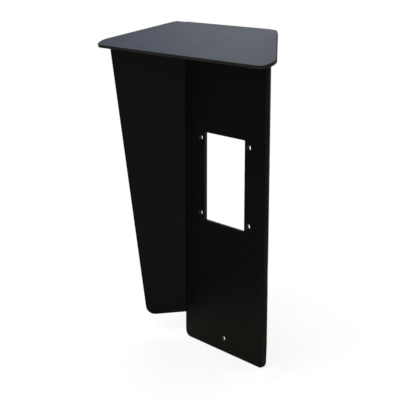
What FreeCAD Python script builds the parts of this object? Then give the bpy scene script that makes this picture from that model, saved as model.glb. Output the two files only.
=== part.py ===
import FreeCAD, Part
import math
import os

# Payment terminal stand: a window panel, two splayed wings and a sloping top plate.
# Frame: X to the right, Y away from the customer, Z up. The origin is the axis of the
# fixing hole in the panel's bottom tab, on the panel's back face. All sizes in mm.

# Window panel
panel_width = 193.0
panel_height = 520.0
panel_rise = 4.1                # its top edge above the plate's lower back edge
panel_thickness = 6.0
panel_corner_radius = 11.0
tab_hole_diameter = 10.0
tab_hole_edge = 22.0            # hole axis above the panel's bottom edge

# Terminal window and its four fixing holes
window_width = 95.5
window_height = 142.0
window_sill = 209.8             # sill above the panel's bottom edge
window_corner_radius = 1.5
terminal_hole_diameter = 9.5
terminal_hole_spacing_x = 114.0
terminal_hole_spacing_z = 122.0

# Wings
wing_thickness = 5.0
wing_angle = 43.5               # splay from the panel's plane, towards the customer
wing_base_width = 67.1          # along the wing, level with the foot of the joint
wing_edge_lean = 6.95           # free edge from the vertical
wing_base_drop = 7.6            # bottom edge falls towards the free edge
wing_base_height = 40.8         # foot of the joint above the panel's bottom edge
wing_corner_radius = 15.0

# Top plate
plate_thickness = 5.0
plate_front_width = 445.4
plate_back_width = 233.8
plate_depth = 106.6             # along the slope
plate_tilt = 20.5
plate_corner_radius = 15.0

# Edges
edge_chamfer = 0.5

# Folded cleats under the plate
cleat_leg = 20.0
cleat_thickness = 2.5
cleat_bend_radius = 1.5
panel_cleat_length = 130.0
wing_cleat_length = 58.0
wing_cleat_start = 16.0         # from the joint, along the wing's top edge
cleat_hole_clearance = 0.25     # radial, round each screw
panel_cleat_screws = 3
wing_cleat_screws = 2
screw_end_distance = 11.0       # first screw from the cleat's end
screw_edge_margin = 2.5         # screw head from the leg's edge

# Screws
screw_diameter = 4.0
screw_depth = 4.0               # thread in the plate, panel or wing
screw_hole_reserve = 0.4        # bottom of the blind hole past the screw's end
screw_head_diameter = 7.6
screw_head_height = 2.2
screw_socket_width = 2.5
screw_socket_depth = 1.3

V = FreeCAD.Vector
os.makedirs("parts", exist_ok=True)

# Directions and levels that several pieces share
splay = math.radians(wing_angle)
tilt = math.radians(plate_tilt)
front_face = -panel_thickness
panel_bottom = -tab_hole_edge
plate_back_height = panel_height - panel_rise              # lower back edge above the panel's bottom
under_normal = V(0, -math.sin(tilt), math.cos(tilt))       # out of the plate's top face
down_slope = V(0, -math.cos(tilt), -math.sin(tilt))        # from the back edge to the front
# The plate's back edge, with its arris broken, touches the panel's front face
plate_back_low = V(0, front_face + edge_chamfer * math.sin(tilt), panel_bottom + plate_back_height)
out = V(-math.cos(splay), -math.sin(splay), 0)             # along the left wing
inward = V(math.sin(splay), -math.cos(splay), 0)           # square to the left wing's inner face
joint_foot = V(-panel_width / 2, front_face, panel_bottom + wing_base_height)


def underside_height(y):
    """Height of the plate's underside at a given depth y."""
    return plate_back_low.z + (y - plate_back_low.y) * math.tan(tilt)


def rounded_face(points, radii, normal):
    """Flat face through the points, each corner rounded by its own radius."""
    count = len(points)
    edges = []
    starts = []
    ends = []
    arcs = []
    for i in range(count):
        here = points[i]
        to_last = (points[i - 1] - here).normalize()
        to_next = (points[(i + 1) % count] - here).normalize()
        radius = radii[i]
        if radius <= 0:
            starts.append(here)
            ends.append(here)
            arcs.append(None)
            continue
        half = to_last.getAngle(to_next) / 2
        reach = radius / math.tan(half)
        first = here + to_last * reach
        second = here + to_next * reach
        centre = here + (to_last + to_next).normalize() * (radius / math.sin(half))
        middle = centre + (here - centre).normalize() * radius
        starts.append(first)
        ends.append(second)
        arcs.append(Part.Arc(first, middle, second).toShape())
    for i in range(count):
        if arcs[i] is not None:
            edges.append(arcs[i])
        edges.append(Part.LineSegment(ends[i], starts[(i + 1) % count]).toShape())
    face = Part.Face(Part.Wire(edges))
    if face.normalAt(0, 0).dot(normal) < 0:
        face.reverse()
    return face


def beyond(point, normal, size=1500.0):
    """Large block on the side of a plane that its normal points to."""
    block = Part.makeBox(size, size, size, V(-size / 2, -size / 2, 0))
    block.Placement = FreeCAD.Placement(point, FreeCAD.Rotation(V(0, 0, 1), normal))
    return block


def break_edges(shape, size, wanted):
    """Takes a small chamfer off the edges that the test accepts."""
    chosen = [edge for edge in shape.Edges if wanted(edge)]
    return shape.makeChamfer(size, chosen)


def middle_of(edge):
    """Point halfway along an edge."""
    return edge.valueAt((edge.FirstParameter + edge.LastParameter) / 2)


def mirrored(shape):
    """The same shape on the other side of the stand's middle."""
    return shape.mirror(V(0, 0, 0), V(1, 0, 0))


def save(name, shape):
    """Writes one piece as its own file."""
    solid = shape.Solids[0]
    print(name, "solids", len(shape.Solids), "valid", solid.isValid(), "volume", round(solid.Volume, 1))
    solid.exportStep("parts/" + name + ".step")


# Screw places: each is the point on the covered face, and the direction that the screw goes in
def cleat_layout(start, along, length, count, leg_a, leg_b, normal_a, normal_b):
    """Screw points on both faces of one cleat."""
    gap = (length - 2 * screw_end_distance) / (count - 1)
    line = cleat_leg - screw_head_diameter / 2 - screw_edge_margin
    places = []
    for i in range(count):
        at = start + along * (screw_end_distance + gap * i)
        places.append((at + leg_a * line, normal_a * -1))
        places.append((at + leg_b * line, normal_b * -1))
    return places


def make_cleat(start, along, length, leg_a, leg_b, normal_a, normal_b, places):
    """Folded strip in the corner between two faces, with clearance holes."""
    cosine = leg_a.dot(leg_b)
    sine = math.sqrt(1 - cosine * cosine)
    inner = (leg_a + leg_b) * (cleat_thickness / sine)
    points = [start, start + leg_a * cleat_leg]
    points.append(start + leg_a * cleat_leg + normal_a * cleat_thickness)
    points.append(start + inner)
    points.append(start + leg_b * cleat_leg + normal_b * cleat_thickness)
    points.append(start + leg_b * cleat_leg)
    bend = cleat_bend_radius
    face = rounded_face(points, [bend + cleat_thickness, 0, 0, bend, 0, 0], along)
    cleat = face.extrude(along * length)
    for point, direction in places:
        hole = Part.makeCylinder(screw_diameter / 2 + cleat_hole_clearance, 3 * cleat_thickness,
                                 point - direction * (2 * cleat_thickness), direction)
        cleat = cleat.cut(hole)
    return cleat


def make_screw(point, direction):
    """Cap screw with a hexagon socket, its head on the cleat and its thread in the covered piece."""
    reach = cleat_thickness + screw_depth
    shank = screw_diameter / 2
    head = screw_head_diameter / 2
    profile = [V(0, 0, -screw_head_height), V(head, 0, -screw_head_height), V(head, 0, 0),
               V(shank, 0, 0), V(shank, 0, reach), V(0, 0, reach)]
    face = Part.Face(Part.makePolygon(profile + [profile[0]]))
    screw = face.revolve(V(0, 0, 0), V(0, 0, 1), 360)
    corners = []
    for i in range(6):
        turn = math.radians(60 * i)
        across = screw_socket_width / math.sqrt(3)
        corners.append(V(across * math.cos(turn), across * math.sin(turn), -screw_head_height))
    socket = Part.Face(Part.makePolygon(corners + [corners[0]]))
    screw = screw.cut(socket.extrude(V(0, 0, screw_socket_depth)))
    bearing = point - direction * cleat_thickness
    screw.Placement = FreeCAD.Placement(bearing, FreeCAD.Rotation(V(0, 0, 1), direction))
    return screw


def thread_hole(point, direction):
    """Blind hole that a screw's thread fills."""
    depth = screw_depth + screw_hole_reserve
    return Part.makeCylinder(screw_diameter / 2, depth, point, direction)


# Places of the three cleats
down = V(0, 0, -1)
right = V(1, 0, 0)
panel_corner = V(-panel_cleat_length / 2, front_face, underside_height(front_face))
panel_places = cleat_layout(panel_corner, right, panel_cleat_length, panel_cleat_screws,
                            down, down_slope, V(0, -1, 0), under_normal * -1)

fall = math.sin(splay) * math.tan(tilt)
wing_top_line = (out - V(0, 0, fall)).normalize()
wing_down = (out * fall + V(0, 0, 1)).normalize() * -1
plate_in = under_normal.cross(wing_top_line).normalize()
if plate_in.dot(inward) < 0:
    plate_in = plate_in * -1
joint_top = V(joint_foot.x, joint_foot.y, underside_height(front_face))
wing_corner = joint_top + wing_top_line * wing_cleat_start
wing_places = cleat_layout(wing_corner, wing_top_line, wing_cleat_length, wing_cleat_screws,
                           wing_down, plate_in, inward, under_normal * -1)

# Window panel: tab with rounded corners, window and holes; its top stands behind the plate
half = panel_width / 2
outline = [V(-half, front_face, panel_bottom), V(half, front_face, panel_bottom),
           V(half, front_face, panel_bottom + panel_height),
           V(-half, front_face, panel_bottom + panel_height)]
panel = rounded_face(outline, [panel_corner_radius, panel_corner_radius, 0, 0], V(0, 1, 0))
panel = panel.extrude(V(0, panel_thickness, 0))
sill = panel_bottom + window_sill
half_window = window_width / 2
window = [V(-half_window, front_face - 1, sill), V(half_window, front_face - 1, sill),
          V(half_window, front_face - 1, sill + window_height),
          V(-half_window, front_face - 1, sill + window_height)]
window = rounded_face(window, [window_corner_radius] * 4, V(0, 1, 0))
panel = panel.cut(window.extrude(V(0, panel_thickness + 2, 0)))
window_middle = sill + window_height / 2
hole_points = [(0.0, 0.0, tab_hole_diameter)]
for x in (-terminal_hole_spacing_x / 2, terminal_hole_spacing_x / 2):
    for z in (-terminal_hole_spacing_z / 2, terminal_hole_spacing_z / 2):
        hole_points.append((x, window_middle + z, terminal_hole_diameter))
for x, z, diameter in hole_points:
    drill = Part.makeCylinder(diameter / 2, panel_thickness + 2, V(x, front_face - 1, z), V(0, 1, 0))
    panel = panel.cut(drill)


def panel_arris(edge):
    """Outer edges of the tab and the front and back edges of the window."""
    at = middle_of(edge)
    flat = abs(at.y - front_face) < 1e-6 or abs(at.y) < 1e-6
    if not flat or edge.Length < 0.5:
        return False
    if abs(at.x) < half_window + 0.1 and sill - 0.1 < at.z < sill + window_height + 0.1:
        return True
    return at.z < joint_foot.z - 1 and edge.BoundBox.ZMin < panel_bottom + panel_corner_radius - 0.1 \
        and (abs(at.x) > tab_hole_diameter or at.z < panel_bottom + 0.1)


panel = break_edges(panel, edge_chamfer, panel_arris)
for point, direction in panel_places:
    if direction.y > 0.9:
        panel = panel.cut(thread_hole(point, direction))
save("window_panel", panel)

# Left wing: slab square to its own plane, then trimmed by the panel's side and the plate
lean = math.tan(math.radians(wing_edge_lean))
drop = math.tan(math.radians(wing_base_drop))


def wing_point(distance, height):
    """Point on the left wing's inner face: distance from the joint, height above its foot."""
    return joint_foot + out * distance + V(0, 0, height)


base_reach = wing_base_width / (1 + lean * drop)
wing_tall = plate_back_height
back_reach = -3 * wing_thickness
outline = [wing_point(back_reach, -drop * back_reach), wing_point(base_reach, -drop * base_reach),
           wing_point(base_reach + lean * (wing_tall + drop * base_reach), wing_tall),
           wing_point(back_reach, wing_tall)]
wing = rounded_face(outline, [0, wing_corner_radius, 0, 0], inward * -1)
wing = wing.extrude(inward * -wing_thickness)


def wing_arris(edge):
    """Edges of the free side, the corner and the bottom, on both faces."""
    at = middle_of(edge) - joint_foot
    reach = at.dot(out)
    across = at.dot(inward * -1)
    on_face = abs(across) < 1e-6 or abs(across - wing_thickness) < 1e-6
    return on_face and reach > back_reach + 1 and at.z < wing_tall - 1


wing = break_edges(wing, edge_chamfer, wing_arris)
wing = wing.cut(beyond(V(joint_foot.x, 0, 0), V(1, 0, 0)))
wing = wing.cut(beyond(V(0, 0, 0), V(0, 1, 0)))
wing = wing.cut(beyond(plate_back_low, under_normal))
for point, direction in wing_places:
    if direction.dot(inward) < -0.9:
        wing = wing.cut(thread_hole(point, direction))
save("wing_left", wing)
save("wing_right", mirrored(wing))

# Top plate: trapezium with rounded corners, lying on the wings, its back edge against the panel
back_half = plate_back_width / 2
front_half = plate_front_width / 2
front_mid = plate_back_low + down_slope * plate_depth
outline = [plate_back_low + V(-back_half, 0, 0), front_mid + V(-front_half, 0, 0),
           front_mid + V(front_half, 0, 0), plate_back_low + V(back_half, 0, 0)]
plate = rounded_face(outline, [plate_corner_radius] * 4, under_normal)
plate = plate.extrude(under_normal * plate_thickness)


def plate_arris(edge):
    """Edges round the plate's top and bottom faces."""
    height = (middle_of(edge) - plate_back_low).dot(under_normal)
    return abs(height) < 1e-6 or abs(height - plate_thickness) < 1e-6


plate = break_edges(plate, edge_chamfer, plate_arris)
plate_holes = [p for p in panel_places + wing_places if p[1].dot(under_normal) > 0.9]
for point, direction in plate_holes:
    plate = plate.cut(thread_hole(point, direction))
for point, direction in wing_places:
    if direction.dot(under_normal) > 0.9:
        plate = plate.cut(mirrored(thread_hole(point, direction)))
save("top_plate", plate)

# Cleats
cleat = make_cleat(panel_corner, right, panel_cleat_length, down, down_slope,
                   V(0, -1, 0), under_normal * -1, panel_places)
save("panel_cleat", cleat)
cleat = make_cleat(wing_corner, wing_top_line, wing_cleat_length, wing_down, plate_in,
                   inward, under_normal * -1, wing_places)
save("wing_cleat_left", cleat)
save("wing_cleat_right", mirrored(cleat))

# Screws, numbered along each cleat
number = 0
for point, direction in panel_places:
    number += 1
    side = "panel" if direction.y > 0.9 else "plate"
    save("screw_centre_" + side + "_" + str((number + 1) // 2), make_screw(point, direction))
number = 0
for point, direction in wing_places:
    number += 1
    side = "plate" if direction.dot(under_normal) > 0.9 else "wing"
    screw = make_screw(point, direction)
    save("screw_left_" + side + "_" + str((number + 1) // 2), screw)
    save("screw_right_" + side + "_" + str((number + 1) // 2), mirrored(screw))
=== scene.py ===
"""Payment terminal stand in black compact board: finishes, screws, floor, light and camera."""

import logging
import math
from dataclasses import dataclass, field
from enum import Enum
from typing import Sequence, Union

import bpy
import numpy as np
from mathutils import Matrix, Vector

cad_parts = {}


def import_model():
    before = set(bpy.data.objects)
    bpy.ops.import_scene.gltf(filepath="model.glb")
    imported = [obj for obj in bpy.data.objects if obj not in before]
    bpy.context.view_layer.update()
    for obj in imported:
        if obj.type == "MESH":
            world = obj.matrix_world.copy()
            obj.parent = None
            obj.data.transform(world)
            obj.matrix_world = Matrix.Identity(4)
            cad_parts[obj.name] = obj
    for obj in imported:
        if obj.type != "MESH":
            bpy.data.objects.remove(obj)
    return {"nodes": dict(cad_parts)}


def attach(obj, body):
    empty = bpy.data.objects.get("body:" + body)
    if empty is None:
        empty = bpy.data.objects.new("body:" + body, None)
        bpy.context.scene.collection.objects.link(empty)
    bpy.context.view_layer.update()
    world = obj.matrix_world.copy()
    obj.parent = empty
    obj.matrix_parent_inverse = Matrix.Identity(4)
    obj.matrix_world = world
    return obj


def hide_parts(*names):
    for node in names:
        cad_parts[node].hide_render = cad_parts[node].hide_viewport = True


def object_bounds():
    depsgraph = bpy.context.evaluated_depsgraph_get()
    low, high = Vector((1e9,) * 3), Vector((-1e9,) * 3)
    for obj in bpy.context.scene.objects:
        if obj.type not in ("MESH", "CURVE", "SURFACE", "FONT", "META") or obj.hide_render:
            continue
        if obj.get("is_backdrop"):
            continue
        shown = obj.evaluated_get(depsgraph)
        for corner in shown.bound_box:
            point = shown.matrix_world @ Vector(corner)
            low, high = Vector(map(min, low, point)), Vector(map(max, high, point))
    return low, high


log = logging.getLogger("stand")
MM = 0.001
BUMP_HEIGHT = 0.1 * MM
NOISE_SPAN = (0.3, 0.7)
CORNER_ANGLE = math.radians(40)
FLOOR_GAP = 0.0002
MIRROR = np.array([-1.0, 1.0, 1.0])
Colour = tuple[float, float, float]
Array = np.ndarray
Socket = bpy.types.NodeSocket
Value = Union[float, Sequence[float], Socket]


def srgb(red: float, green: float, blue: float) -> Colour:
    """Linear colour of a display colour.

    Args:
        red, green, blue: display values from 0 to 255.

    Returns:
        The three linear values: v/12.92 below 0.04045, else ((v + 0.055)/1.055) to the power 2.4.
    """
    v = np.array([red, green, blue]) / 255.0
    linear = np.where(v <= 0.04045, v / 12.92, ((v + 0.055) / 1.055) ** 2.4)
    return (float(linear[0]), float(linear[1]), float(linear[2]))


def scaled(colour: Colour, by: float) -> tuple[float, float, float, float]:
    """A colour times a number, with full alpha."""
    return (by * colour[0], by * colour[1], by * colour[2], 1.0)


# Meshes

def mesh_object(name: str, points: Array, faces: Sequence[Sequence[int]],
                smooth: bool) -> bpy.types.Object:
    """Object at the origin with the given points and faces.

    Args:
        name: the piece's name.
        points: n by 3 array in metres.
        faces: rows of point numbers.
        smooth: whether faces shade smoothly.

    Returns:
        The new object, linked to the scene.
    """
    mesh = bpy.data.meshes.new(name)
    mesh.from_pydata(points.tolist(), [], [list(map(int, f)) for f in faces])
    mesh.polygons.foreach_set("use_smooth", np.full(len(mesh.polygons), smooth))
    mesh.update()
    piece = bpy.data.objects.new(name, mesh)
    bpy.context.scene.collection.objects.link(piece)
    return piece


def ring_faces(rings: int, across: int) -> Array:
    """Quads between closed rings that lie one after the other.

    Args:
        rings: number of rings.
        across: points in each ring.

    Returns:
        (rings - 1) * across rows of four point numbers. Quad (i, j) joins points j and j + 1
        of ring i to the same two of ring i + 1, counted round the ring.
    """
    i, j = np.meshgrid(np.arange(rings - 1), np.arange(across), indexing="ij")
    k = (j + 1) % across
    near, far = i * across, (i + 1) * across
    return np.stack([near + j, far + j, far + k, near + k], -1).reshape(-1, 4)


# Shader building blocks

class Graph:
    """Short way to add and join nodes of one material or group."""

    def __init__(self, tree: bpy.types.NodeTree) -> None:
        """Keeps the tree that the nodes go into."""
        self.tree = tree

    def add(self, kind: str, **values: object) -> bpy.types.Node:
        """Adds a node.

        Args:
            kind: the node's type name.
            values: properties to set on it.

        Returns:
            The new node.
        """
        node = self.tree.nodes.new(kind)
        for name, value in values.items():
            setattr(node, name, value)
        return node

    def join(self, start: Socket, end: Socket) -> None:
        """Joins one output to one input."""
        self.tree.links.new(start, end)

    def feed(self, socket: Socket, value: Value) -> None:
        """Joins an output to the socket, or sets the socket to a plain value.

        Args:
            socket: the input.
            value: an output, a number, or a colour of four values.
        """
        if isinstance(value, Socket):
            self.join(value, socket)
        else:
            socket.default_value = value

    def maths(self, operation: str, first: Value, second: Value = 0.0, clamp: bool = False) -> Socket:
        """Result of one Math node.

        Args:
            operation: the node's operation.
            first, second: numbers or outputs.
            clamp: whether the result is kept between 0 and 1.

        Returns:
            The node's output.
        """
        node = self.add("ShaderNodeMath", operation=operation, use_clamp=clamp)
        self.feed(node.inputs[0], first)
        self.feed(node.inputs[1], second)
        return node.outputs[0]

    def blend(self, factor: Value, first: Value, second: Value) -> Socket:
        """Colour between two colours.

        Args:
            factor: 0 for the first, 1 for the second.
            first, second: colours of four values, or outputs.

        Returns:
            The mixed colour's output.
        """
        node = self.add("ShaderNodeMix", data_type="RGBA")
        self.feed(node.inputs["Factor"], factor)
        self.feed(node.inputs[6], first)
        self.feed(node.inputs[7], second)
        return node.outputs[2]

    def mix(self, factor: Value, first: Socket, second: Socket) -> Socket:
        """Shader between two shaders.

        Args:
            factor: 0 for the first, 1 for the second.
            first, second: shader outputs.

        Returns:
            The mixed shader's output.
        """
        node = self.add("ShaderNodeMixShader")
        self.feed(node.inputs[0], factor)
        self.join(first, node.inputs[1])
        self.join(second, node.inputs[2])
        return node.outputs[0]

    def measure(self, operation: str, vector: Socket,
                other: Sequence[float] = (0.0, 0.0, 0.0)) -> Socket:
        """Number that one Vector Math node makes of a vector and a fixed one.

        Args:
            operation: the node's operation.
            vector: the changing vector.
            other: the fixed vector.

        Returns:
            The node's number.
        """
        node = self.add("ShaderNodeVectorMath", operation=operation)
        self.join(vector, node.inputs[0])
        node.inputs[1].default_value = other
        return node.outputs["Value"]

    def relief(self, height: Socket, strength: float, shader: bpy.types.Node) -> None:
        """Bump node between a height and a shader's normal.

        Args:
            height: the height's output, 1 standing for BUMP_HEIGHT.
            strength: how much of it shows.
            shader: the node whose normal it bends.
        """
        bump = self.add("ShaderNodeBump")
        bump.inputs["Strength"].default_value = strength
        bump.inputs["Distance"].default_value = BUMP_HEIGHT
        self.join(height, bump.inputs["Height"])
        self.join(bump.outputs["Normal"], shader.inputs["Normal"])

    def noise(self, scale: Value, detail: float, vector: Socket, rough: float = 0.5) -> Socket:
        """Value of one Noise node.

        Args:
            scale: features per metre, a number or an output.
            detail: how many finer layers are added.
            vector: where the noise is read.
            rough: weight of each finer layer.

        Returns:
            The noise, mostly between 0.3 and 0.7.
        """
        node = self.add("ShaderNodeTexNoise")
        self.join(vector, node.inputs["Vector"])
        self.feed(node.inputs["Scale"], scale)
        node.inputs["Detail"].default_value = detail
        node.inputs["Roughness"].default_value = rough
        return node.outputs["Fac"]

    def ramp(self, value: Value, low: float, high: float, to_low: float = 0.0,
             to_high: float = 1.0) -> Socket:
        """Straight-line change of range.

        Args:
            value: number or output to change.
            low, high: values that become to_low and to_high.
            to_low, to_high: the result stays between these.

        Returns:
            The changed value's output.
        """
        node = self.add("ShaderNodeMapRange", clamp=True)
        self.feed(node.inputs["Value"], value)
        limits = {"From Min": low, "From Max": high, "To Min": to_low, "To Max": to_high}
        for label, number in limits.items():
            node.inputs[label].default_value = number
        return node.outputs["Result"]


GroupParts = tuple[bpy.types.NodeTree, Graph, bpy.types.Node, bpy.types.Node]


def new_group(name: str, inputs: dict[str, float], outputs: Sequence[str]) -> GroupParts:
    """Empty shader group with named sockets.

    Args:
        name: the group's name.
        inputs: float inputs and their plain values.
        outputs: names of the float outputs.

    Returns:
        The group, its graph, its input node and its output node.
    """
    tree = bpy.data.node_groups.new(name, "ShaderNodeTree")
    for label, value in inputs.items():
        socket = tree.interface.new_socket(name=label, in_out="INPUT", socket_type="NodeSocketFloat")
        socket.default_value = value
    for label in outputs:
        tree.interface.new_socket(name=label, in_out="OUTPUT", socket_type="NodeSocketFloat")
    graph = Graph(tree)
    return tree, graph, graph.add("NodeGroupInput"), graph.add("NodeGroupOutput")


def new_material(name: str) -> tuple[bpy.types.Material, Graph, bpy.types.Node]:
    """Material with the plain surface shader.

    Args:
        name: the material's name.

    Returns:
        The material, its graph and its surface shader.
    """
    material = bpy.data.materials.new(name)
    material.use_nodes = True
    tree = material.node_tree
    return material, Graph(tree), tree.nodes["Principled BSDF"]


class Groups:
    """The shader groups that several finishes share.

    Scales count features per metre. Ranges are the values of a noise that become 0 and 1.
    """

    tone_scale: float = 25.0
    smear_scale: float = 18.0
    dust_scale: float = 1400.0
    per_millimetre: float = 1000.0
    coarse_share: float = 0.2
    smear_range: tuple[float, float] = (0.42, 0.72)
    dust_range: tuple[float, float] = (0.74, 0.80)

    def __init__(self) -> None:
        """Builds each group once."""
        self.grain = self.build_grain()
        self.wear = self.build_wear()

    def build_grain(self) -> bpy.types.NodeTree:
        """Moulded texture of a pressed or powder-coated surface.

        Returns:
            A group with Size in millimetres and Mottle, giving Height and Tone. Height is a fine
            noise of the grain's size with a little of a noise five times as large. Tone is a soft
            noise about 40 mm across, centred on 0.5.
        """
        tree, g, start, end = new_group("surface_grain", {"Size": 0.6, "Mottle": 0.3},
                                        ["Height", "Tone"])
        place = g.add("ShaderNodeTexCoord").outputs["Object"]
        fine = g.maths("DIVIDE", self.per_millimetre, start.outputs["Size"])
        coarse = g.maths("MULTIPLY", fine, self.coarse_share)
        small = g.noise(fine, 2.0, place)
        large = g.noise(coarse, 2.0, place)
        mixed = g.maths("MULTIPLY", large, start.outputs["Mottle"])
        g.join(g.maths("ADD", small, mixed), end.inputs["Height"])
        g.join(g.noise(self.tone_scale, 3.0, place, 0.55), end.inputs["Tone"])
        return tree

    def build_wear(self) -> bpy.types.NodeTree:
        """Faint wiping marks and dust.

        Returns:
            A group with Amount, giving Smear and Dust. Smear is a noise stretched upwards, as a
            cloth leaves it. Dust is sparse specks where a 0.7 mm noise peaks.
        """
        tree, g, start, end = new_group("wipe_marks", {"Amount": 1.0}, ["Smear", "Dust"])
        place = g.add("ShaderNodeTexCoord").outputs["Object"]
        stretch = g.add("ShaderNodeMapping")
        stretch.inputs["Scale"].default_value = (1.0, 1.0, 0.25)
        stretch.inputs["Rotation"].default_value = (0.2, 0.3, 0.5)
        g.join(place, stretch.inputs["Vector"])
        wiped = g.noise(self.smear_scale, 4.0, stretch.outputs["Vector"], 0.6)
        smear = g.ramp(wiped, *self.smear_range)
        dust = g.ramp(g.noise(self.dust_scale, 1.0, place), *self.dust_range)
        g.join(g.maths("MULTIPLY", smear, start.outputs["Amount"]), end.inputs["Smear"])
        g.join(g.maths("MULTIPLY", dust, start.outputs["Amount"]), end.inputs["Dust"])
        return tree


class Sheen(Enum):
    """How glossy a finish is: roughness, and the shader's specular level."""

    BOARD = (0.34, 0.26)
    POWDER = (0.48, 0.35)
    ZINC = (0.32, 0.5)


@dataclass(frozen=True)
class BoardFinish:
    """Matt black compact board: a pressed face and a slightly paler sawn edge.

    tone_swing and layer_swing are shares of the colour, and dust_gain is the dust's colour over
    the face's. smear_rough, rough_swing and sawn_rough are added to the roughness, and
    ridge_height counts bump heights.
    """

    name: str
    normal: tuple[float, float, float]
    # Sawn edge colour: the core's own paler tone, with painted light or shade for the board it goes
    # on.
    edge: Colour
    face: Colour = srgb(9, 9, 10)
    sheen: Sheen = Sheen.BOARD
    grain_mm: float = 0.9
    layer_mm: float = 0.45
    bump: float = 0.4
    sawn_range: tuple[float, float] = (0.75, 0.5)
    tone_swing: float = 0.2
    layer_swing: float = 0.35
    dust_gain: float = 2.2
    dust_cover: float = 0.5
    smear_rough: float = 0.015
    rough_swing: float = 0.006
    sawn_rough: float = 0.12
    ridge_height: float = 2.0

    def build(self, groups: Groups) -> bpy.types.Material:
        """Makes the material.

        Args:
            groups: the shared shader groups.

        Returns:
            The material. The sawn edge shows where a face's normal stands away from the board's
            own, by the size of their dot product: full below 0.5 and gone above 0.75. It is layered
            by a noise of the depth in the board, which is position dotted with the same normal.
        """
        material, g, shader = new_material(self.name)
        place = g.add("ShaderNodeTexCoord")
        flat = g.maths("ABSOLUTE", g.measure("DOT_PRODUCT", place.outputs["Normal"], self.normal))
        sawn = g.ramp(flat, *self.sawn_range)

        grain = g.add("ShaderNodeGroup", node_tree=groups.grain)
        grain.inputs["Size"].default_value = self.grain_mm
        wear = g.add("ShaderNodeGroup", node_tree=groups.wear)

        tone = g.ramp(grain.outputs["Tone"], *NOISE_SPAN, 1.0 - self.tone_swing, 1.0 + self.tone_swing)
        dusty = g.maths("MULTIPLY", wear.outputs["Dust"], self.dust_cover)
        face = g.blend(dusty, scaled(self.face, 1.0), scaled(self.face, self.dust_gain))
        depth = g.measure("DOT_PRODUCT", place.outputs["Object"], self.normal)
        layers = g.add("ShaderNodeTexNoise", noise_dimensions="1D")
        g.join(g.maths("MULTIPLY", depth, 1.0 / (self.layer_mm * MM)), layers.inputs["W"])
        layers.inputs["Scale"].default_value = 1.0
        dark, light = (scaled(self.edge, 1.0 + side * self.layer_swing) for side in (-1.0, 1.0))
        core = g.blend(g.ramp(layers.outputs["Fac"], *NOISE_SPAN), dark, light)
        both = g.blend(sawn, face, core)
        toned = g.add("ShaderNodeVectorMath", operation="SCALE")
        g.join(both, toned.inputs[0])
        g.join(tone, toned.inputs["Scale"])
        g.join(toned.outputs["Vector"], shader.inputs["Base Color"])

        roughness, specular = self.sheen.value
        smeared = g.maths("MULTIPLY", wear.outputs["Smear"], self.smear_rough)
        varied = g.ramp(grain.outputs["Tone"], *NOISE_SPAN, roughness - self.rough_swing,
                        roughness + self.rough_swing)
        rough = g.maths("ADD", varied, smeared)
        rough = g.maths("ADD", rough, g.maths("MULTIPLY", sawn, self.sawn_rough), clamp=True)
        g.join(rough, shader.inputs["Roughness"])
        shader.inputs["Specular IOR Level"].default_value = specular

        ridges = g.maths("MULTIPLY", layers.outputs["Fac"], sawn)
        ridges = g.maths("MULTIPLY", ridges, self.ridge_height)
        g.relief(g.maths("ADD", grain.outputs["Height"], ridges), self.bump, shader)
        return material


@dataclass(frozen=True)
class MetalFinish:
    """Coated steel: powder coat on the folded cleats, black zinc on the screws."""

    name: str
    colour: Colour
    sheen: Sheen
    metallic: float
    grain_mm: float
    bump: float
    paler: float = 1.6
    smear_rough: float = 0.1

    def build(self, groups: Groups) -> bpy.types.Material:
        """Makes the material.

        Args:
            groups: the shared shader groups.

        Returns:
            The material. Its colour drifts between the given one and a paler one.
        """
        material, g, shader = new_material(self.name)
        grain = g.add("ShaderNodeGroup", node_tree=groups.grain)
        grain.inputs["Size"].default_value = self.grain_mm
        wear = g.add("ShaderNodeGroup", node_tree=groups.wear)
        tone = g.ramp(grain.outputs["Tone"], *NOISE_SPAN)
        drift = g.blend(tone, scaled(self.colour, 1.0), scaled(self.colour, self.paler))
        g.join(drift, shader.inputs["Base Color"])
        roughness, specular = self.sheen.value
        rough = g.maths("ADD", g.maths("MULTIPLY", wear.outputs["Smear"], self.smear_rough), roughness)
        g.join(rough, shader.inputs["Roughness"])
        shader.inputs["Metallic"].default_value = self.metallic
        shader.inputs["Specular IOR Level"].default_value = specular
        g.relief(grain.outputs["Height"], self.bump, shader)
        return material


# The stand's own shape, as far as the finishes and screws need it

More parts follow.
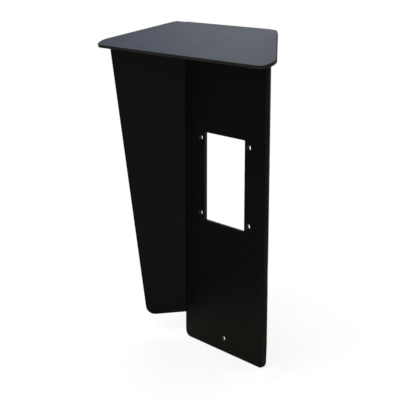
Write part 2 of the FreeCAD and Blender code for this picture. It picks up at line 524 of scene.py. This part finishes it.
@dataclass(frozen=True)
class Shape:
    """Sizes of the stand in millimetres, and the directions that follow from them.

    plate_back_height is the height of the plate's lower back edge above the panel's bottom, and
    tab_hole_edge that of the tab's hole, which is the frame's origin.
    """

    panel_width: float = 193.0
    panel_thickness: float = 6.0
    tab_hole_edge: float = 22.0
    wing_angle: float = 43.5
    plate_back_height: float = 515.9
    plate_tilt: float = 20.5
    edge_break: float = 0.5
    cleat_thickness: float = 2.5
    cleat_leg: float = 20.0
    panel_cleat_length: float = 130.0
    wing_cleat_length: float = 58.0
    wing_cleat_start: float = 16.0
    screw_end_distance: float = 11.0
    screw_edge_margin: float = 2.5
    screw_head_diameter: float = 7.6

    @property
    def plate_up(self) -> Array:
        """Direction out of the plate's top face."""
        t = math.radians(self.plate_tilt)
        return np.array([0.0, -math.sin(t), math.cos(t)])

    @property
    def down_slope(self) -> Array:
        """Direction down the plate, towards the customer."""
        t = math.radians(self.plate_tilt)
        return np.array([0.0, -math.cos(t), -math.sin(t)])

    @property
    def wing_out(self) -> Array:
        """Level direction along the left wing, away from its joint."""
        s = math.radians(self.wing_angle)
        return np.array([-math.cos(s), -math.sin(s), 0.0])

    @property
    def wing_in(self) -> Array:
        """Direction square to the left wing's inner face, into the stand."""
        s = math.radians(self.wing_angle)
        return np.array([math.sin(s), -math.cos(s), 0.0])

    @property
    def top_corner_height(self) -> float:
        """Height of the plate's underside over the panel's front face."""
        t = math.radians(self.plate_tilt)
        drop = self.edge_break * math.sin(t) * math.tan(t)
        return self.plate_back_height - self.tab_hole_edge - drop


@dataclass
class ScrewPlace:
    """One screw: the point where its head bears, the way it goes in, and the node it stands for."""

    node: str
    bearing: Array
    direction: Array


@dataclass
class CapScrew:
    """Hexagon socket screw with a rounded head and a rolled thread, sizes in millimetres."""

    diameter: float = 4.0
    pitch: float = 0.7
    length: float = 6.5
    head_diameter: float = 7.6
    head_height: float = 2.2
    rim_radius: float = 0.55
    socket_width: float = 2.5
    socket_depth: float = 1.3
    thread_depth: float = 0.17
    edge_break: float = 0.12
    tip_bevel: float = 0.45
    centre_radius: float = 0.02
    floor_share: float = 0.9
    mouth_share: float = 0.6
    around: int = 48
    rim_steps: int = 6
    turn_steps: int = 8

    def rings(self) -> tuple[Array, Array, Array]:
        """Radius, depth and hexagon share of each ring from the socket's floor to the tip.

        Returns:
            Three arrays. Depth grows into the hole, with 0 at the head's bearing face. The rim is a
            quarter circle. The thread's radius swings by a cosine of the depth over one pitch. The
            first four rings are the socket's and wholly hexagonal, and the fifth is its mouth.
        """
        top = -self.head_height
        floor = top + self.socket_depth
        head, socket, shank = self.head_diameter / 2, self.socket_width / 2, self.diameter / 2
        brk, tip, centre = self.edge_break, self.tip_bevel, self.centre_radius
        bend = np.linspace(0.0, math.pi / 2, self.rim_steps)
        rim_radius = head - self.rim_radius * (1 - np.sin(bend))
        rim_depth = top + self.rim_radius * (1 - np.cos(bend))
        turns = int((self.length - 2 * tip) / self.pitch)
        run = np.linspace(tip, tip + turns * self.pitch, turns * self.turn_steps + 1)
        thread = shank - self.thread_depth * (1 - np.cos(2 * math.pi * (run - tip) / self.pitch)) / 2
        inside = [centre, socket * self.floor_share, socket, socket, socket + brk]
        radius = np.concatenate([inside, rim_radius, [head, head - brk, shank, shank], thread,
                                 [shank - tip, centre]])
        depth = np.concatenate([[floor, floor, floor - brk / 2, top + brk, top], rim_depth,
                                [-brk, 0.0, 0.0, tip / 2], run, [self.length, self.length]])
        share = np.zeros_like(radius)
        share[:4] = 1.0
        share[4] = self.mouth_share
        return radius, depth, share

    def build(self, place: ScrewPlace, material: bpy.types.Material) -> bpy.types.Object:
        """Makes one screw in its place.

        Args:
            place: where the screw goes.
            material: its finish.

        Returns:
            The screw. Round ring i and angle a the radius is the ring's own, and in the socket it
            is the hexagon's: apothem / cos(a mod 60 degrees - 30 degrees). The whole grid is then
            turned so that depth runs along the screw's direction.
        """
        radius, depth, share = self.rings()
        angle = np.arange(self.around) * 2 * math.pi / self.around
        hexagon = 1 / np.cos(np.mod(angle, math.pi / 3) - math.pi / 6)
        reach = radius[:, None] * (1 + share[:, None] * (hexagon[None, :] - 1))
        x = reach * np.cos(angle)[None, :]
        y = reach * np.sin(angle)[None, :]
        z = np.repeat(depth[:, None], self.around, axis=1)
        grid = np.stack([x, y, z], -1).reshape(-1, 3)
        turn = np.array(Vector((0, 0, 1)).rotation_difference(Vector(place.direction)).to_matrix())
        points = (grid @ turn.T + place.bearing) * MM
        rings = len(radius)
        faces = [tuple(f) for f in ring_faces(rings, self.around)]
        first = tuple(range(self.around))
        last = tuple(range((rings - 1) * self.around, rings * self.around))
        faces += [first, tuple(reversed(last))]
        piece = mesh_object(place.node + "_detail", points, faces, True)
        piece.data.materials.append(material)
        piece.modifiers.new("corners", "EDGE_SPLIT").split_angle = CORNER_ANGLE
        return piece


# Sub-assemblies

@dataclass
class Boards:
    """The four boards: window panel, two wings and the top plate."""

    shape: Shape
    nodes: dict[str, bpy.types.Object]
    groups: Groups
    # The sawn edges are paler than the faces, as the board's core is. Their different shades from
    # board to board are painted light and shade: painted light on the panel's and the plate's edges,
    # painted shade on the wings' edges.
    panel_edge_with_painted_light: Colour = srgb(56, 56, 55)
    wing_edge_with_painted_shade: Colour = srgb(34, 34, 33)
    plate_edge_with_painted_light: Colour = srgb(66, 66, 64)

    def dress(self) -> None:
        """Gives each board the black board finish, turned to its own face, with a sawn edge whose
        shade, set board by board, is partly painted light and shade.
        """
        inward = self.shape.wing_in
        boards = {"window_panel": (np.array([0.0, 1.0, 0.0]), self.panel_edge_with_painted_light),
                  "wing_left": (inward, self.wing_edge_with_painted_shade),
                  "wing_right": (inward * MIRROR, self.wing_edge_with_painted_shade),
                  "top_plate": (self.shape.plate_up, self.plate_edge_with_painted_light)}
        for node, (normal, edge) in boards.items():
            finish = BoardFinish("board_" + node, tuple(float(c) for c in normal), edge)
            cover(self.nodes[node], finish.build(self.groups))
            log.info("%s: black board", node)


@dataclass
class Fixings:
    """The folded cleats under the plate and their screws."""

    shape: Shape
    nodes: dict[str, bpy.types.Object]
    groups: Groups
    screw: CapScrew = field(default_factory=CapScrew)
    powder: MetalFinish = MetalFinish("powder_black", srgb(43, 43, 45), Sheen.POWDER, 0.0, 0.7, 0.25)
    zinc: MetalFinish = MetalFinish("zinc_black", srgb(89, 89, 93), Sheen.ZINC, 0.9, 0.3, 0.05)

    def row(self, start: Array, along: Array, length: float, count: int, legs: tuple[Array, Array],
            into: tuple[Array, Array], names: tuple[str, str]) -> list[ScrewPlace]:
        """Screw places on the two legs of one cleat.

        Args:
            start: the corner's end, in millimetres.
            along: the corner's direction.
            length: the cleat's length.
            count: screws in each leg.
            legs: direction of each leg, away from the corner.
            into: the way that the screws of each leg go in.
            names: first part of each leg's node names.

        Returns:
            The places, one leg after the other at each step along the cleat.
        """
        line = self.shape.cleat_leg - self.shape.screw_head_diameter / 2 - self.shape.screw_edge_margin
        step = (length - 2 * self.shape.screw_end_distance) / (count - 1)
        places = []
        for i in range(count):
            at = start + along * (self.shape.screw_end_distance + step * i)
            for leg, way, name in zip(legs, into, names):
                bearing = at + leg * line - way * self.shape.cleat_thickness
                places.append(ScrewPlace(f"{name}_{i + 1}", bearing, way))
        return places

    def places(self) -> list[ScrewPlace]:
        """All screw places.

        Returns:
            Those of the panel's cleat, of the left wing's, and of the right wing's, which mirror the
            left ones. A wing's cleat runs along the line where its inner face meets the plate: out
            along the wing, and down by the sine of the splay times the tangent of the tilt.
        """
        s = self.shape
        down = np.array([0.0, 0.0, -1.0])
        corner = np.array([-s.panel_cleat_length / 2, -s.panel_thickness, s.top_corner_height])
        found = self.row(corner, np.array([1.0, 0.0, 0.0]), s.panel_cleat_length, 3,
                         (down, s.down_slope), (np.array([0.0, 1.0, 0.0]), s.plate_up),
                         ("screw_centre_panel", "screw_centre_plate"))
        fall = math.sin(math.radians(s.wing_angle)) * math.tan(math.radians(s.plate_tilt))
        along = s.wing_out + fall * down
        along = along / np.linalg.norm(along)
        wing_down = -(s.wing_out * fall - down)
        wing_down = wing_down / np.linalg.norm(wing_down)
        inner = np.cross(s.plate_up, along)
        inner = inner * math.copysign(1.0, float(inner @ s.wing_in))
        joint = np.array([-s.panel_width / 2, -s.panel_thickness, s.top_corner_height])
        left = self.row(joint + along * s.wing_cleat_start, along, s.wing_cleat_length, 2,
                        (wing_down, inner), (-s.wing_in, s.plate_up),
                        ("screw_left_wing", "screw_left_plate"))
        right = [ScrewPlace(p.node.replace("left", "right"), p.bearing * MIRROR, p.direction * MIRROR)
                 for p in left]
        return found + left + right

    def build(self) -> None:
        """Dresses the cleats and puts a detailed screw in place of each plain one."""
        powder = self.powder.build(self.groups)
        zinc = self.zinc.build(self.groups)
        for node in ("panel_cleat", "wing_cleat_left", "wing_cleat_right"):
            cover(self.nodes[node], powder)
            log.info("%s: powder coat", node)
        for place in self.places():
            piece = self.screw.build(place, zinc)
            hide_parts(place.node)
            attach(piece, "root")
            cover(self.nodes[place.node], zinc)
            log.info("%s: socket screw", place.node)


def cover(piece: bpy.types.Object, material: bpy.types.Material) -> None:
    """Puts one material on every slot of a piece.

    Args:
        piece: the object to cover.
        material: its only material afterwards.
    """
    if not piece.data.materials:
        piece.data.materials.append(material)
    for slot in piece.material_slots:
        slot.material = material


# Studio

@dataclass(frozen=True)
class SoftBox:
    """Rectangular lamp that points at a spot."""

    name: str
    place: tuple[float, float, float]
    target: tuple[float, float, float]
    width: float
    height: float
    brightness: float
    colour: Colour = (1.0, 1.0, 1.0)

    def build(self) -> None:
        """Makes the lamp. Its power is brightness times pi times its area."""
        lamp = bpy.data.lights.new(self.name, "AREA")
        lamp.shape = "RECTANGLE"
        lamp.size = self.width
        lamp.size_y = self.height
        lamp.energy = self.brightness * math.pi * self.width * self.height
        lamp.color = self.colour
        holder = bpy.data.objects.new(self.name, lamp)
        holder.location = self.place
        way = Vector(self.target) - Vector(self.place)
        holder.rotation_euler = way.to_track_quat("-Z", "Y").to_euler()
        holder.visible_camera = False
        bpy.context.scene.collection.objects.link(holder)


@dataclass(frozen=True)
class PaintedLightPool:
    """Round pool of light painted into the floor's colour for the stand: full within one radius, none
    past another.
    """

    centre: tuple[float, float, float]
    inner: float
    outer: float


@dataclass
class Studio:
    """White floor and surroundings, soft lamps and the camera.

    Pairs of numbers are the ends of a fade. way_back points from the stand away from the
    camera. The surroundings count as backdrop where a direction's dot product with it is past
    backdrop_side and its rise lies between backdrop_foot and backdrop_top, and the floor does
    where a place's dot product is past floor_behind.
    """

    floor_height: float
    floor_radius: float = 0.5
    floor_middle: float = 0.05
    floor_rings: int = 12
    floor_around: int = 96
    # The floor's colour as the stand sees it is painted: yellowish pools of painted light, and painted
    # shade away from them, which the panel and the wings reflect.
    painted_light_pools: tuple[PaintedLightPool, ...] = (PaintedLightPool((0.0, 0.0, 0.0), 0.12, 0.27), PaintedLightPool((0.12, -0.28, 0.0), 0.22, 0.38),
                               PaintedLightPool((0.0, 0.40, 0.0), 0.30, 0.45))
    floor_clear: tuple[float, float] = (0.25, 0.45)
    floor_painted_light: Colour = (0.90, 0.90, 0.72)
    floor_painted_shade: Colour = (0.20, 0.20, 0.20)
    floor_seen: Colour = (0.82, 0.82, 0.82)
    floor_glow: float = 0.78
    focal_pixels: float = 1058.43
    image_pixels: float = 400.0
    camera_place: tuple[float, float, float] = (1.222139, -1.040362, 0.618461)
    camera_pitch: float = 13.6698
    camera_turn: float = 51.0791
    surroundings: float = 0.116
    way_back: tuple[float, float, float] = (-0.778, 0.628, 0.0)
    floor_behind: tuple[float, float] = (0.30, 0.45)
    backdrop_side: tuple[float, float] = (0.55, 0.85)
    backdrop_foot: tuple[float, float] = (0.0, 0.06)
    backdrop_top: tuple[float, float] = (0.25, 0.10)
    boxes: tuple[SoftBox, ...] = (
        SoftBox("back_left", (-1.25, 0.62, 1.40), (0.05, -0.03, 0.50), 0.8, 0.8, 1.105,
                (0.65, 0.75, 1.0)),
        SoftBox("back_high", (-1.11, 0.78, 1.47), (0.05, -0.03, 0.50), 0.6, 0.6, 0.535,
                (1.0, 0.99, 0.80)),
        SoftBox("back_right", (0.75, 1.50, 0.60), (0.0, 0.0, 0.27), 1.4, 1.1, 0.9),
        SoftBox("front_high", (0.5, -1.3, 2.0), (0.0, -0.05, 0.0), 1.6, 1.6, 1.34),
        SoftBox("front_low", (0.85, -1.45, 0.15), (-0.14, -0.05, 0.25), 1.4, 1.2, 0.18))

    def floor(self) -> None:
        """Makes the round floor.

        Its points are rings at evenly growing radii, each point at radius times cosine and sine of
        its angle, and one face closes the middle.
        """
        around = self.floor_around
        radius = np.linspace(self.floor_middle, self.floor_radius, self.floor_rings)
        angle = np.arange(around) * 2 * math.pi / around
        x = radius[:, None] * np.cos(angle)
        y = radius[:, None] * np.sin(angle)
        z = np.full_like(x, self.floor_height)
        points = np.stack([x, y, z], -1).reshape(-1, 3)
        faces = [tuple(f) for f in ring_faces(self.floor_rings, around)] + [tuple(range(around))]
        disc = mesh_object("floor", points, faces, False)
        disc.data.materials.append(self.floor_material())
        disc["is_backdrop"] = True

    def along_back(self, g: Graph, vector: Socket) -> Socket:
        """How far a place or direction lies behind the stand, its dot product with the way back."""
        return g.measure("DOT_PRODUCT", vector, self.way_back)

    def white_rays(self, g: Graph, behind: Socket) -> Socket:
        """Which rays see the white background.

        Args:
            g: the graph of the floor's material or of the surroundings.
            behind: 1 where that background is behind the stand, 0 where it isn't.

        Returns:
            1 for camera rays, and for glossy and transmission rays as much as behind says, so that
            metal shows the background, and the boards' faces keep the picture's dim reflections.
        """
        path = g.add("ShaderNodeLightPath").outputs
        bent = g.maths("ADD", path["Is Glossy Ray"], path["Is Transmission Ray"], clamp=True)
        return g.maths("ADD", path["Is Camera Ray"], g.maths("MULTIPLY", bent, behind), clamp=True)

    def painted_light_and_shade(self, g: Graph, place: Socket) -> Socket:
        """Painted light and shade in the floor's colour, which the stand takes up as its light and
        reflections.

        Args:
            g: the material's graph.
            place: Object coordinates.

        Returns:
            The bright, yellowish colour of painted light in the pools, the dim one of painted shade
            away from all of them.
        """
        fading: Value = 1.0
        for pool in self.painted_light_pools:
            away = g.measure("DISTANCE", place, pool.centre)
            fading = g.maths("MINIMUM", fading, g.ramp(away, pool.inner, pool.outer))
        return g.blend(fading, scaled(self.floor_painted_light, 1.0), scaled(self.floor_painted_shade, 1.0))

    def floor_material(self) -> bpy.types.Material:
        """White floor that keeps the stand's shadow.

        Returns:
            The material. To the camera it is a pale surface with a glow, so that it comes out white
            but for the shadow, and plain white from floor_clear on. To the stand it shows the painted
            pools of light and the painted shade. From below it is clear.
        """
        material, g, shader = new_material("white_floor")
        place = g.add("ShaderNodeTexCoord").outputs["Object"]
        behind = g.ramp(self.along_back(g, place), *self.floor_behind)
        seen = self.white_rays(g, behind)
        # Rays other than the camera's, and reflections away from the backdrop, see the painted pools
        # of light and the painted shade.
        colour = g.blend(seen, self.painted_light_and_shade(g, place), scaled(self.floor_seen, 1.0))
        g.join(colour, shader.inputs["Base Color"])
        shader.inputs["Roughness"].default_value = 0.9
        shader.inputs["Specular IOR Level"].default_value = 0.1

        glow = g.add("ShaderNodeEmission")
        glow.inputs["Strength"].default_value = self.floor_glow
        both = g.add("ShaderNodeAddShader")
        g.join(shader.outputs["BSDF"], both.inputs[0])
        g.join(glow.outputs["Emission"], both.inputs[1])

        past_shadow = g.ramp(g.measure("LENGTH", place), *self.floor_clear)
        white = g.add("ShaderNodeEmission").outputs["Emission"]
        shown = g.mix(past_shadow, both.outputs[0], white)
        lit = g.mix(seen, shader.outputs["BSDF"], shown)

        camera_ray = g.add("ShaderNodeLightPath").outputs["Is Camera Ray"]
        below = g.maths("MULTIPLY", camera_ray, g.add("ShaderNodeNewGeometry").outputs["Backfacing"])
        clear = g.add("ShaderNodeBsdfTransparent").outputs["BSDF"]
        out = material.node_tree.nodes["Material Output"]
        g.join(g.mix(below, lit, clear), out.inputs["Surface"])
        return material

    def world(self) -> None:
        """White to the camera, and low down behind the stand to reflections; else dim grey."""
        world = bpy.data.worlds.new("studio")
        world.use_nodes = True
        bpy.context.scene.world = world
        g = Graph(world.node_tree)
        sky = world.node_tree.nodes["Background"]
        sky.inputs["Color"].default_value = (1.0, 1.0, 1.0, 1.0)
        way = g.add("ShaderNodeTexCoord").outputs["Generated"]
        split = g.add("ShaderNodeSeparateXYZ")
        g.join(way, split.inputs["Vector"])
        rise = split.outputs["Z"]
        high = g.maths("MULTIPLY", g.ramp(rise, *self.backdrop_foot), g.ramp(rise, *self.backdrop_top))
        behind = g.maths("MULTIPLY", g.ramp(self.along_back(g, way), *self.backdrop_side), high)
        strength = g.ramp(self.white_rays(g, behind), 0.0, 1.0, self.surroundings, 1.0)
        g.join(strength, sky.inputs["Strength"])

    def lamps(self) -> None:
        """Makes every soft lamp."""
        for box in self.boxes:
            box.build()
            log.info("%s: lamp", box.name)

    def camera(self) -> None:
        """Camera at the picture's viewpoint, with the focal length that its perspective has."""
        lens = bpy.data.cameras.new("camera")
        lens.sensor_width = 36.0
        lens.lens = lens.sensor_width * self.focal_pixels / self.image_pixels
        lens.clip_start = 0.05
        holder = bpy.data.objects.new("camera", lens)
        holder.location = self.camera_place
        tip = math.radians(90.0 - self.camera_pitch)
        holder.rotation_euler = (tip, 0.0, math.radians(self.camera_turn))
        bpy.context.scene.collection.objects.link(holder)
        bpy.context.scene.camera = holder

    def build(self) -> None:
        """Makes the floor, the surroundings, the lamps and the camera."""
        self.floor()
        self.world()
        self.lamps()
        self.camera()
        bpy.context.scene.view_settings.view_transform = "Standard"
        log.info("studio: floor, surroundings, lamps and camera")


def main() -> None:
    """Loads the frame, dresses the stand and sets up the studio, with the floor just under the frame's
    lowest point.
    """
    logging.basicConfig(level=logging.INFO)
    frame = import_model()
    cad_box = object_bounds()
    groups = Groups()
    shape = Shape()
    Boards(shape, frame["nodes"], groups).dress()
    Fixings(shape, frame["nodes"], groups).build()
    Studio(floor_height=float(cad_box[0][2]) - FLOOR_GAP).build()


if __name__ == "__main__":
    main()
